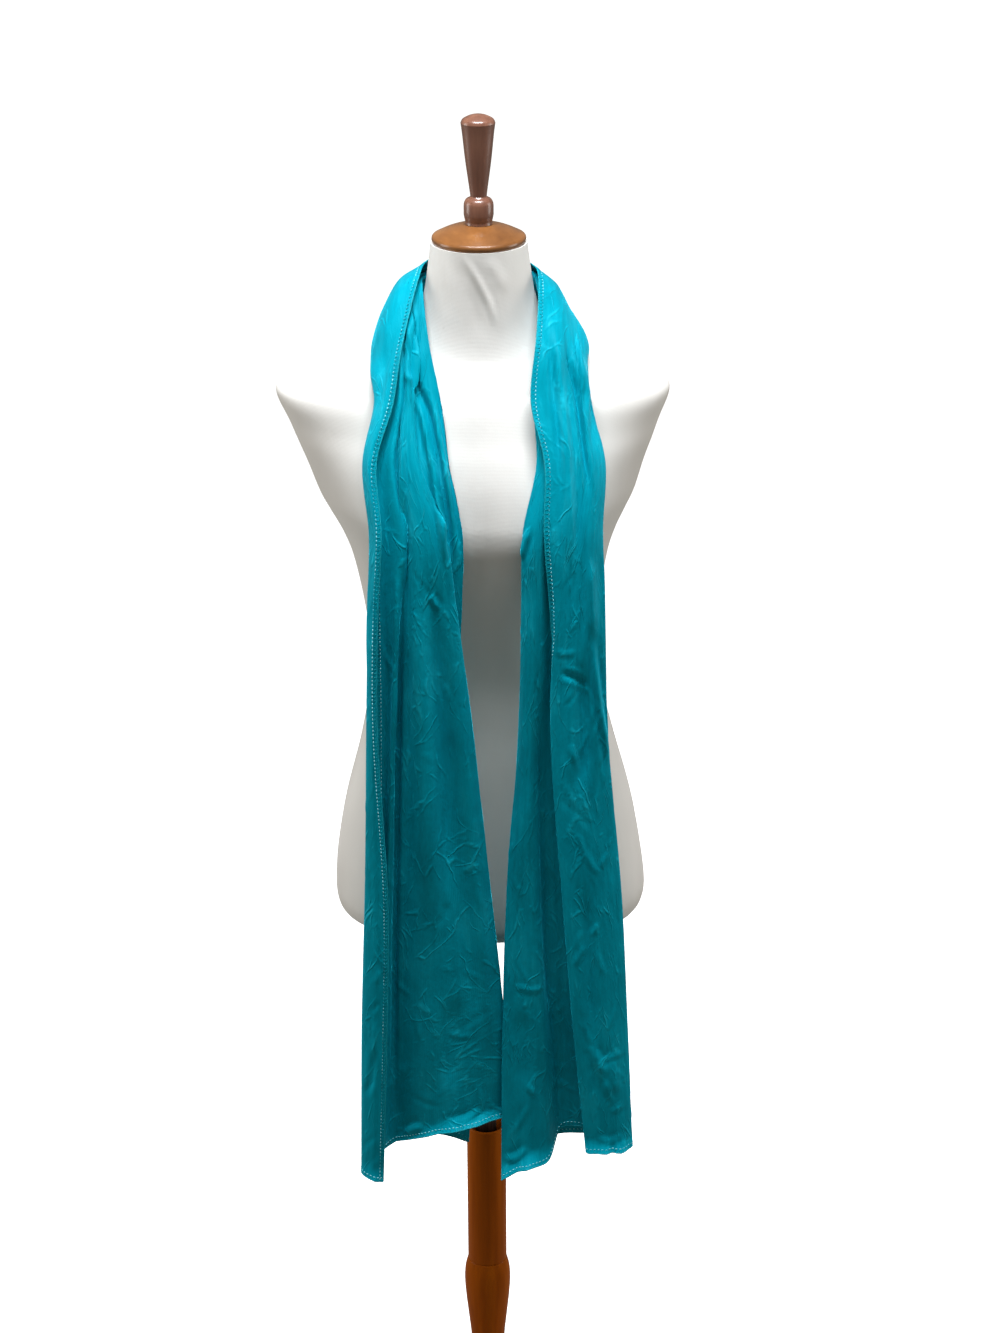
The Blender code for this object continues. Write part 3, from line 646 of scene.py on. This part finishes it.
def edge_grids(cloth, first, last):
    """The grid of one stretch seen from its edges, edge first: both long edges, and its hem."""
    p, n = cloth.points[first : last + 1], cloth.normals[first : last + 1]
    yield "front_edge", p, n
    yield "tucked_edge", p[:, ::-1], n[:, ::-1]
    if first == 0:
        yield "hem", p.transpose(1, 0, 2), n.transpose(1, 0, 2)
    if last == SCARF_ROWS - 1:
        yield "hem", p[::-1].transpose(1, 0, 2), n[::-1].transpose(1, 0, 2)


def strands(paths, radius, sides, reference):
    """Points and faces of round strands along paths of equal point count, (strands, points, 3)."""
    total, count = paths.shape[:2]
    tangent = unit(np.gradient(paths, axis=1))
    side = unit(np.cross(tangent, reference))
    up = np.cross(tangent, side)
    rings = []
    for i in range(sides):
        angle = 2 * math.pi * i / sides
        rings.append(paths + radius * (math.cos(angle) * side + math.sin(angle) * up))
    points = np.stack(rings, axis=2).reshape(-1, 3)
    faces = []
    for s in range(total):
        start = s * count * sides
        faces += grid_faces(count, sides, start=start, wrap=True)
        faces.append(tuple(range(start, start + sides))[::-1])
        last = start + (count - 1) * sides
        faces.append(tuple(range(last, last + sides)))
    return points, faces


def joined(name, parts, material):
    """One object from several lots of points and faces."""
    points, faces = [], []
    for part_points, part_faces in parts:
        start = sum(len(lot) for lot in points)
        points.append(part_points)
        faces += [tuple(index + start for index in face) for face in part_faces]
    return mesh_object(name, np.concatenate(points), faces, material)


def serged_edge(name, points, normals, serging, thread):
    """Wrapped edge with its overlock loops, and the needle line on both faces."""
    edge, face = points[:, 0], unit(normals[:, 0])
    seam, seam_face = inward_line(points, normals, STITCH_DEPTH)
    half, half_face = inward_line(points, normals, STITCH_DEPTH / 2)
    outward = unit(edge - half)
    rails = np.concatenate([edge, face, seam, seam_face, half, half_face, outward], axis=1)
    reach = path_length(edge)
    starts = np.arange(1.0, reach[-1] - STITCH_PITCH - 0.5, STITCH_PITCH)
    lift = CLOTH / 2 + THREAD * 0.6

    def rail(step):
        at = starts + step * STITCH_PITCH
        read = np.stack([np.interp(at, reach, rails[:, i]) for i in range(rails.shape[1])], axis=-1)
        return [read[..., k : k + 3] for k in range(0, rails.shape[1], 3)]

    seam_at, seam_back = rail(0.0), rail(1.0)
    half_at, rim_at, half_back = [rail(step) for step in LOOP_STEPS]
    loop = [
        seam_at[2] + seam_at[3] * lift,
        half_at[4] + half_at[5] * lift,
        rim_at[0] + rim_at[6] * (EDGE_ROLL + THREAD * 0.5),
        half_back[4] - half_back[5] * lift,
        seam_back[2] - seam_back[3] * lift,
    ]
    paths = np.stack(loop, axis=1)
    reference = np.broadcast_to(unit(seam_at[1])[:, None], paths.shape)
    parts = [
        strands(edge[None], EDGE_ROLL, 6, face[None]),
        strands(paths, THREAD, 4, reference + NUDGE),
    ]
    pieces = [joined(name + "_serging", parts, serging)]

    parts = []
    for sign in (1, -1):
        dash = []
        for step, sink in DASH_STEPS:
            at = rail(step)
            dash.append(at[2] + sign * at[3] * (lift - sink))
        parts.append(strands(np.stack(dash, axis=1), NEEDLE_THREAD, 4, reference[:, :3]))
    pieces.append(joined(name + "_needle", parts, thread))
    return pieces


def fine_form_points():
    """The dress form through its sections, finer than its solid."""
    table = np.array(FORM_SECTIONS, float)
    rows = (len(table) - 1) * FORM_ROWS_PER_SECTION + 1
    levels = spline(np.arange(len(table)), table, np.arange(rows) / FORM_ROWS_PER_SECTION)
    angle = 2 * np.pi * np.arange(FORM_SIDES) / FORM_SIDES
    z, aside, half_width, front, back, square = [levels[:, i : i + 1] for i in range(6)]
    cosine = np.sign(np.cos(angle)) * np.abs(np.cos(angle)) ** (2 / square)
    sine = np.sign(np.sin(angle)) * np.abs(np.sin(angle)) ** (2 / square)
    x = half_width * cosine
    y = sine * np.where(sine > 0, back, front)
    z = np.broadcast_to(z, x.shape)
    sideways = (np.abs(x) - BUST["across"]) / BUST["wide"]
    upward = (z - BUST["height"]) / BUST["tall"]
    swell = BUST["out"] * np.exp(-(sideways**2 + upward**2) / 2)
    for width, rise, points in COVER_CREASES:
        swell = swell + crease(x, z, points, width, rise)
    y = y - np.where(sine < 0, swell * np.sqrt(np.clip(-sine, 0, 1)), 0)
    return np.stack([x + aside, y, z], axis=2)


def dress_form(points, cover):
    """Covered torso with a flat underside and a flat top under the cap."""
    rows = len(points)
    faces = grid_faces(rows, FORM_SIDES, wrap=True)
    faces.append(tuple(range(FORM_SIDES))[::-1])
    last = (rows - 1) * FORM_SIDES
    faces.append(tuple(range(last, last + FORM_SIDES)))
    return mesh_object("covered_torso", points, faces, cover, FORM_SHARP)


def smooth_run(points, steps=6):
    """A smooth stretch of a turned profile through its points."""
    points = np.array(points, float)
    if len(points) < 3:
        return points
    at = np.arange((len(points) - 1) * steps + 1) / steps
    reach = path_length(points)
    return spline(reach, points, np.interp(at, np.arange(len(points)), reach))


def turned(name, runs, material, sides=96):
    """A piece turned on the lathe, from runs of (radius, z) down its outer side; runs meet in corners."""
    profile = np.concatenate([smooth_run(run)[:-1] for run in runs[:-1]] + [smooth_run(runs[-1])])
    angle = 2 * np.pi * np.arange(sides) / sides
    ring = np.stack([np.cos(angle), np.sin(angle), np.zeros(sides)], axis=1)
    points = profile[:, None, :1] * ring[None] + np.array([0, 0, 1]) * profile[:, None, 1:]
    faces = grid_faces(len(profile), sides, flip=True, wrap=True)
    obj = mesh_object(name, points, faces, material)
    close_mesh(obj.data)
    obj.data.set_sharp_from_angle(angle=math.radians(TURNED_SHARP))
    return obj


def close_mesh(mesh):
    """Welds the axis points of a turned piece and drops the flat faces that this leaves."""
    model = bmesh.new()
    model.from_mesh(mesh)
    bmesh.ops.remove_doubles(model, verts=model.verts, dist=0.000005)
    bmesh.ops.dissolve_degenerate(model, edges=model.edges, dist=0.000001)
    bmesh.ops.recalc_face_normals(model, faces=model.faces)
    model.to_mesh(mesh)
    model.free()


def finial_runs():
    bottom = CAP_BOTTOM + CAP_RIM + CAP_DOME + PIECE_GAP
    top = PART_TOP
    knob = bottom + 26
    return [
        [(0, top), (6, top - 0.8), (11.5, top - 2.9), (15.4, top - 5.6), (16.6, top - 8.3)],
        [(16.6, top - 8.3), (16.4, top - 9.6), (12.6, top - 43.5), (8.3, knob + 4), (7.9, knob + 0.8)],
        [(7.9, knob + 0.8), (8.6, knob), (12.2, knob - 2.2), (14, knob - 5.5), (14.4, knob - 8.5)],
        [(14.4, knob - 8.5), (14.4, bottom + 9)],
        [(14.4, bottom + 9), (13.6, bottom + 5), (13, bottom + 2.2), (13.2, bottom)],
        [(13.2, bottom), (0, bottom)],
    ]


def cap_runs():
    bottom = CAP_BOTTOM
    rim = bottom + CAP_RIM
    return [
        [(0, rim + CAP_DOME), (15, rim + 11.8), (24, rim + 9.6), (34, rim + 6), (44.4, rim + 0.9)],
        [(44.4, rim + 0.9), (45.3, rim - 0.4), (45.5, rim - 1.8), (45.2, rim - 3.6), (44.6, bottom)],
        [(44.6, bottom), (0, bottom)],
    ]


def sleeve_runs():
    top, low = SLEEVE_TOP, FOOT_TOP + PIECE_GAP
    return [
        [(18.5, top - 0.6), (18.9, top), (20.4, top), (21.2, top - 0.4), (21.5, top - 1.6)],
        [(21.5, top - 1.6), (21.5, low + 1.2)],
        [(21.5, low + 1.2), (21.2, low + 0.3), (20.5, low)],
        [(20.5, low), (18.5, low)],
        [(18.5, low), (18.5, top - 0.6)],
    ]


def foot_runs():
    top, low = FOOT_TOP, BASE_TOP + PIECE_GAP
    collar = [(20.5, top), (21.6, top - 0.8), (22.2, top - 2.6), (24.5, 320), (25.5, 304.5)]
    stem = [(24.4, 284), (21.5, 255), (18.6, 225), (17.6, 190), (17.2, 150), (17.8, 110), (20.6, 78)]
    return [
        [(BORE_RADIUS, top), (20.5, top)],
        collar + stem,
        [(20.6, 78), (25, 62), (27.4, 52), (26.6, 45), (24, 40)],
        [(24, 40), (29, 36), (33, 32), (34, 28), (34, low)],
        [(34, low), (0, low)],
        [(0, BORE_FLOOR), (BORE_RADIUS, BORE_FLOOR)],
        [(BORE_RADIUS, BORE_FLOOR), (BORE_RADIUS, top)],
    ]


def base_runs():
    top = BASE_TOP
    return [
        [(0, top), (150, top)],
        [(150, top), (163, 23.4), (172, 20.6), (178, 15.6), (180, 10.5), (179, 4.5), (175, 1)],
        [(175, 1), (172, 0)],
        [(172, 0), (0, 0)],
    ]


class Shade:
    """Builds one material: a Principled shader and the nodes that feed it."""

    def __init__(self, name, **constants):
        self.material = bpy.data.materials.new(name)
        self.material.use_nodes = True
        self.tree = self.material.node_tree
        self.shader = self.tree.nodes["Principled BSDF"]
        for socket, value in constants.items():
            self.shader.inputs[socket.replace("_", " ")].default_value = value

    def node(self, kind, inputs=None, **settings):
        made = self.tree.nodes.new("ShaderNode" + kind)
        for key, value in settings.items():
            setattr(made, key, value)
        for key, value in (inputs or {}).items():
            if isinstance(value, bpy.types.NodeSocket):
                self.tree.links.new(value, made.inputs[key])
            else:
                made.inputs[key].default_value = value
        return made

    def feed(self, socket, source):
        self.tree.links.new(source, self.shader.inputs[socket])

    def math(self, operation, a, b=0.0):
        return self.node("Math", {0: a, 1: b}, operation=operation).outputs[0]

    def stretched(self, source, scale, turn=0.0):
        """Scaled coordinates, turned about Z before that where a turn is given."""
        if turn:
            source = self.node("Mapping", {"Vector": source, "Rotation": (0.0, 0.0, turn)}).outputs[0]
        return self.node("Mapping", {"Vector": source, "Scale": scale}).outputs[0]

    def noise(self, vector, scale, detail=2.0, roughness=0.5):
        inputs = {"Vector": vector, "Scale": scale, "Detail": detail, "Roughness": roughness}
        return self.node("TexNoise", inputs).outputs["Fac"]

    def crushed(self, cut):
        """Thin sharp crease lines in patches, like those of crushed jersey, mostly along the cloth; they
        shape the bump and lighten the colour as painted sheen.
        """
        bent = self.node("TexNoise", {"Vector": cut, "Scale": 22.0, "Detail": 2.0}).outputs["Color"]
        swerve = self.node("VectorMath", {0: bent, 1: (0.02, 0.03, 0.0)}, operation="MULTIPLY").outputs[0]
        spot = self.node("VectorMath", {0: cut, 1: swerve}, operation="ADD").outputs[0]
        lines = []
        for turn, size in ((0.22, (120, 15, 1)), (-0.4, (85, 17, 1))):
            cells = self.node("TexVoronoi", {"Vector": self.stretched(spot, size, turn), "Scale": 1.0})
            cells.feature = "DISTANCE_TO_EDGE"
            edge = {"Value": cells.outputs["Distance"], "From Max": 0.07, "To Min": 1.0, "To Max": 0.0}
            line = self.node("MapRange", edge, interpolation_type="SMOOTHSTEP").outputs[0]
            patch = self.noise(self.stretched(cut, (55, 26, 1), turn), 1.0, 3.0, 0.6)
            shown = self.node("MapRange", {"Value": patch, "From Min": 0.51, "From Max": 0.66}).outputs[0]
            lines.append(self.math("MULTIPLY", line, shown))
        return self.math("MAXIMUM", lines[0], lines[1])

    def band(self, value, low, high, soft):
        """1 from `low` to `high`, fading to 0 within `soft` on either side."""
        rise = self.node("MapRange", {"Value": value, "From Min": low - soft, "From Max": low}).outputs[0]
        fall = {"Value": value, "From Min": high, "From Max": high + soft, "To Min": 1.0, "To Max": 0.0}
        return self.math("MULTIPLY", rise, self.node("MapRange", fall).outputs[0])

    def ramp(self, factor, *stops):
        made = self.node("ValToRGB", {"Fac": factor})
        elements = made.color_ramp.elements
        while len(elements) < len(stops):
            elements.new(0.5)
        for element, (position, colour) in zip(elements, stops):
            element.position = position
            element.color = (*colour, 1.0)
        return made.outputs["Color"]

    def bump(self, height, distance, strength=1.0, below=None):
        inputs = {"Height": height, "Distance": distance, "Strength": strength}
        if below:
            inputs["Normal"] = below
        return self.node("Bump", inputs).outputs["Normal"]


def jersey_material():
    """Fine teal jersey with a soft sheen, crushed a little by handling, its colour lightened along the crush
    lines as painted sheen.
    """
    shade = Shade(
        "teal_jersey",
        Roughness=0.44,
        Sheen_Weight=0.5,
        Sheen_Roughness=0.32,
        Sheen_Tint=(0.02, 0.72, 0.95, 1.0),
        Specular_IOR_Level=0.10,
        Specular_Tint=(0.2, 0.9, 1.0, 1.0),
    )
    cut = shade.node("UVMap", uv_map="cut").outputs[0]
    streaks = shade.noise(shade.stretched(cut, (300, 22, 1)), 1.0, 3.0, 0.6)
    patches = shade.noise(shade.stretched(cut, (26, 10, 1)), 1.0, 3.0, 0.6)
    tone = shade.math("ADD", shade.math("MULTIPLY", streaks, 0.35), shade.math("MULTIPLY", patches, 0.65))
    crush_and_sheen = shade.crushed(cut)
    # Painted sheen: the colour is lightened along the crush lines
    tone = shade.math("ADD", tone, shade.math("MULTIPLY", crush_and_sheen, 0.2))
    dark, middle, light = (0.0, 0.215, 0.29), (0.0, 0.28, 0.375), (0.006, 0.37, 0.48)
    shade.feed("Base Color", shade.ramp(tone, (0.36, dark), (0.54, middle), (0.74, light)))

    wales = shade.node("TexWave", {"Vector": cut, "Scale": 330.0, "Distortion": 0.6, "Detail": 1.0})
    wales.bands_direction = "X"
    courses = shade.node("TexWave", {"Vector": cut, "Scale": 250.0, "Distortion": 1.2, "Detail": 1.0})
    courses.bands_direction = "Y"
    knit = shade.math("ADD", wales.outputs["Fac"], shade.math("MULTIPLY", courses.outputs["Fac"], 0.5))
    fine = shade.bump(knit, 0.00010, 0.5)
    rumple = shade.noise(shade.stretched(cut, (150, 60, 1)), 1.0, 4.0, 0.62)
    soft = shade.bump(rumple, 0.0011, 0.5, fine)
    shade.feed("Normal", shade.bump(crush_and_sheen, 0.0007, 0.9, soft))
    return shade.material


def serging_material():
    """Teal overlock thread that wraps the raw edges."""
    tint = (0.02, 0.72, 0.95, 1.0)
    shade = Shade("teal_serging", Roughness=0.5, Sheen_Weight=0.4, Sheen_Tint=tint, Specular_IOR_Level=0.15)
    spot = shade.node("TexCoord").outputs["Object"]
    twist = shade.noise(spot, 700.0, 2.0)
    shade.feed("Base Color", shade.ramp(twist, (0.35, (0.0, 0.20, 0.25)), (0.65, (0.004, 0.33, 0.40))))
    shade.feed("Normal", shade.bump(twist, 0.0002, 0.5))
    return shade.material


def thread_material():
    """Needle thread, paler in patches, and paler on part of the right tail's edge and at the hems; at the
    hems this is a painted highlight.
    """
    tint = (0.5, 0.95, 1.0, 1.0)
    shade = Shade("needle_thread", Roughness=0.45, Sheen_Weight=0.3, Sheen_Tint=tint, Specular_IOR_Level=0.3)
    spot = shade.node("TexCoord").outputs["Object"]
    patches = shade.noise(shade.stretched(spot, (9, 9, 26)), 1.0, 3.0, 0.7)
    axes = shade.node("SeparateXYZ", {0: spot}).outputs
    # Paler on the right tail's edge from 0.90 to 1.14 m up, and at the hems from 0.50 to 0.62 m up, where it
    # is a painted highlight
    on_right = shade.math("LESS_THAN", axes["X"], 0.0)
    on_edge = shade.math("MULTIPLY", shade.band(axes["Z"], 0.90, 1.14, 0.05), on_right)
    paler_zones = shade.math("MAXIMUM", on_edge, shade.band(axes["Z"], 0.50, 0.62, 0.02))
    patches = shade.math("ADD", patches, shade.math("MULTIPLY", paler_zones, 0.13))
    shade.feed("Base Color", shade.ramp(patches, (0.48, (0.0, 0.30, 0.38)), (0.62, (0.26, 0.74, 0.82))))
    shade.feed("Normal", shade.bump(shade.noise(spot, 900.0, 2.0), 0.0002, 0.5))
    return shade.material


def cover_material():
    """Off-white knit cover of the dress form."""
    shade = Shade(
        "white_knit_cover",
        Roughness=0.85,
        Sheen_Weight=0.15,
        Sheen_Roughness=0.5,
        Specular_IOR_Level=0.25,
    )
    spot = shade.node("TexCoord").outputs["Object"]
    soft = shade.noise(shade.stretched(spot, (14, 14, 5)), 1.0, 3.0)
    shade.feed("Base Color", shade.ramp(soft, (0.35, (0.66, 0.64, 0.605)), (0.65, (0.72, 0.70, 0.665))))
    knit = shade.node("TexWave", {"Vector": spot, "Scale": 260.0, "Distortion": 1.0, "Detail": 1.0})
    knit.bands_direction = "Z"
    slub = shade.noise(shade.stretched(spot, (700, 700, 240)), 1.0, 2.0)
    fine = shade.bump(shade.math("ADD", knit.outputs["Fac"], slub), 0.00008, 0.5)
    shade.feed("Normal", shade.bump(shade.noise(spot, 22.0, 3.0), 0.0012, 0.35, fine))
    return shade.material


def wood_material(name, dark, middle, light, gloss, coat, stretch=(75, 75, 5)):
    """Varnished turned wood, its grain along the pole."""
    glint = 0.8 * coat
    shade = Shade(name, Roughness=gloss, Coat_Weight=coat, Coat_Roughness=0.16, Specular_IOR_Level=glint)
    spot = shade.node("TexCoord").outputs["Object"]
    grain = shade.noise(shade.stretched(spot, stretch), 1.0, 5.0, 0.62)
    bands = shade.noise(shade.stretched(spot, (stretch[0] / 4, stretch[1] / 4, stretch[2] / 3)), 1.0, 2.0)
    tone = shade.math("ADD", shade.math("MULTIPLY", grain, 0.6), shade.math("MULTIPLY", bands, 0.4))
    shade.feed("Base Color", shade.ramp(tone, (0.34, dark), (0.5, middle), (0.66, light)))
    pores = shade.noise(shade.stretched(spot, (stretch[0] * 9, stretch[1] * 9, stretch[2] * 7)), 1.0, 2.0)
    shade.feed("Normal", shade.bump(pores, 0.00012, 0.35))
    return shade.material


def steel_material():
    """Dark brown-black steel rod."""
    shade = Shade("dark_steel", Metallic=0.85, Roughness=0.42)
    spot = shade.node("TexCoord").outputs["Object"]
    drawn = shade.noise(shade.stretched(spot, (900, 900, 30)), 1.0, 3.0)
    shade.feed("Base Color", shade.ramp(drawn, (0.35, (0.045, 0.032, 0.028)), (0.65, (0.10, 0.075, 0.065))))
    shade.feed("Normal", shade.bump(drawn, 0.00005, 0.5))
    return shade.material


def floor_material():
    """Pale studio floor."""
    pale, white = (0.86, 0.86, 0.86, 1.0), (1.0, 1.0, 1.0, 1.0)
    glow = dict(Emission_Color=white, Emission_Strength=FLOOR_GLOW)
    return Shade("pale_floor", Base_Color=pale, Roughness=0.9, **glow).material


def area_light(name, place, aim, size, power, colour):
    light = bpy.data.lights.new(name, "AREA")
    light.shape = "RECTANGLE"
    light.size, light.size_y = size
    light.energy = power
    light.color = colour
    obj = bpy.data.objects.new(name, light)
    obj.location = place
    obj.rotation_euler = (Vector(aim) - Vector(place)).to_track_quat("-Z", "Y").to_euler()
    obj.visible_camera = False
    bpy.context.scene.collection.objects.link(obj)


def studio():
    """Pale floor that rises into a backdrop all round, soft light from above and a dim surround."""
    wall = [(9000.0, 9000.0), (8940.0, 4000.0), (8000.0, 1000.0), (6500.0, 120.0), (5000.0, 0.0)]
    floor = turned("studio_floor", [wall, [(5000.0, 0.0), (0.0, 0.0)]], floor_material())
    floor.location.z = -FLOOR_DROP
    floor.visible_diffuse = False
    floor.visible_glossy = False
    floor.visible_shadow = False

    for light in LIGHTS:
        area_light(*light)
    world = bpy.data.worlds.new("surround")
    world.use_nodes = True
    background = world.node_tree.nodes["Background"]
    background.inputs["Color"].default_value = SURROUND_COLOUR
    background.inputs["Strength"].default_value = SURROUND
    bpy.context.scene.world = world


def camera():
    data = bpy.data.cameras.new("camera")
    data.sensor_fit = "VERTICAL"
    data.sensor_height = SENSOR_HEIGHT
    data.lens = FOCAL_PIXELS / IMAGE_HEIGHT * SENSOR_HEIGHT
    obj = bpy.data.objects.new("camera", data)
    obj.matrix_world = (
        Matrix.Translation(CAMERA_PLACE)
        @ Matrix.Rotation(math.radians(CAMERA_YAW), 4, "Z")
        @ Matrix.Rotation(math.radians(90 - CAMERA_DOWN), 4, "X")
        @ Matrix.Rotation(math.radians(CAMERA_ROLL), 4, "Z")
    )
    bpy.context.scene.collection.objects.link(obj)
    bpy.context.scene.camera = obj


def dress(obj, body, slot, *nodes):
    """Hangs a piece on its body and hides the nodes that it stands for; its slot is not used."""
    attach(obj, body)
    if nodes:
        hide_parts(*nodes)
    return obj


def main():
    camera()
    studio()
    bpy.context.scene.view_settings.view_transform = "Standard"

    cover = cover_material()
    form_points = fine_form_points()
    torso = dress(dress_form(form_points, cover), FORM, "form_cover", "dress_form")
    form_faces = grid_faces(len(form_points), FORM_SIDES, wrap=True)
    form_tree = BVHTree.FromPolygons(form_points.reshape(-1, 3).tolist(), form_faces)

    cloth = Cloth(form_tree)
    jersey, serging, thread = jersey_material(), serging_material(), thread_material()
    right, left = (int(row) for row in cloth.seams)
    stretches = (
        ("scarf_right_tail", 0, right, TAIL_CUT),
        ("scarf_neck", right, left, NECK_CUT),
        ("scarf_left_tail", left, SCARF_ROWS - 1, TAIL_CUT),
    )
    for node, first, last, flat in stretches:
        shell = dress(cloth_shell(node + "_cloth", cloth, first, last, jersey), FORM, "jersey", node)
        edges = []
        for word, points, normals in edge_grids(cloth, first, last):
            edges += serged_edge(node + "_" + word, points, normals, serging, thread)
        for piece in edges:
            dress(piece, FORM, "jersey")

    cap_wood = wood_material("cap_wood", *AMBER, 0.30, 0.4, (22, 9, 45))
    finial_wood = wood_material("finial_wood", *RED, 0.36, 0.5)
    pole_wood = wood_material("pole_wood", *BROWN, 0.38, 0.05)
    base_wood = wood_material("base_wood", *BROWN, 0.38, 0.05, (40, 5, 40))
    wooden = (
        # piece, profile, wood, sides, body, node
        ("neck_cap_turned", cap_runs(), cap_wood, 96, FORM, "neck_cap"),
        ("finial_turned", finial_runs(), finial_wood, 96, FORM, "finial"),
        ("sleeve_turned", sleeve_runs(), pole_wood, 96, STAND, "pole_sleeve"),
        ("foot_turned", foot_runs(), pole_wood, 96, STAND, "pole_foot"),
        ("base_turned", base_runs(), base_wood, 128, STAND, "base_disc"),
    )
    for name, runs, wood, sides, body, node in wooden:
        dress(turned(name, runs, wood, sides), body, "wood", node)

    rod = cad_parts["inner_rod"]
    rod.data.materials.clear()
    rod.data.materials.append(steel_material())


main()
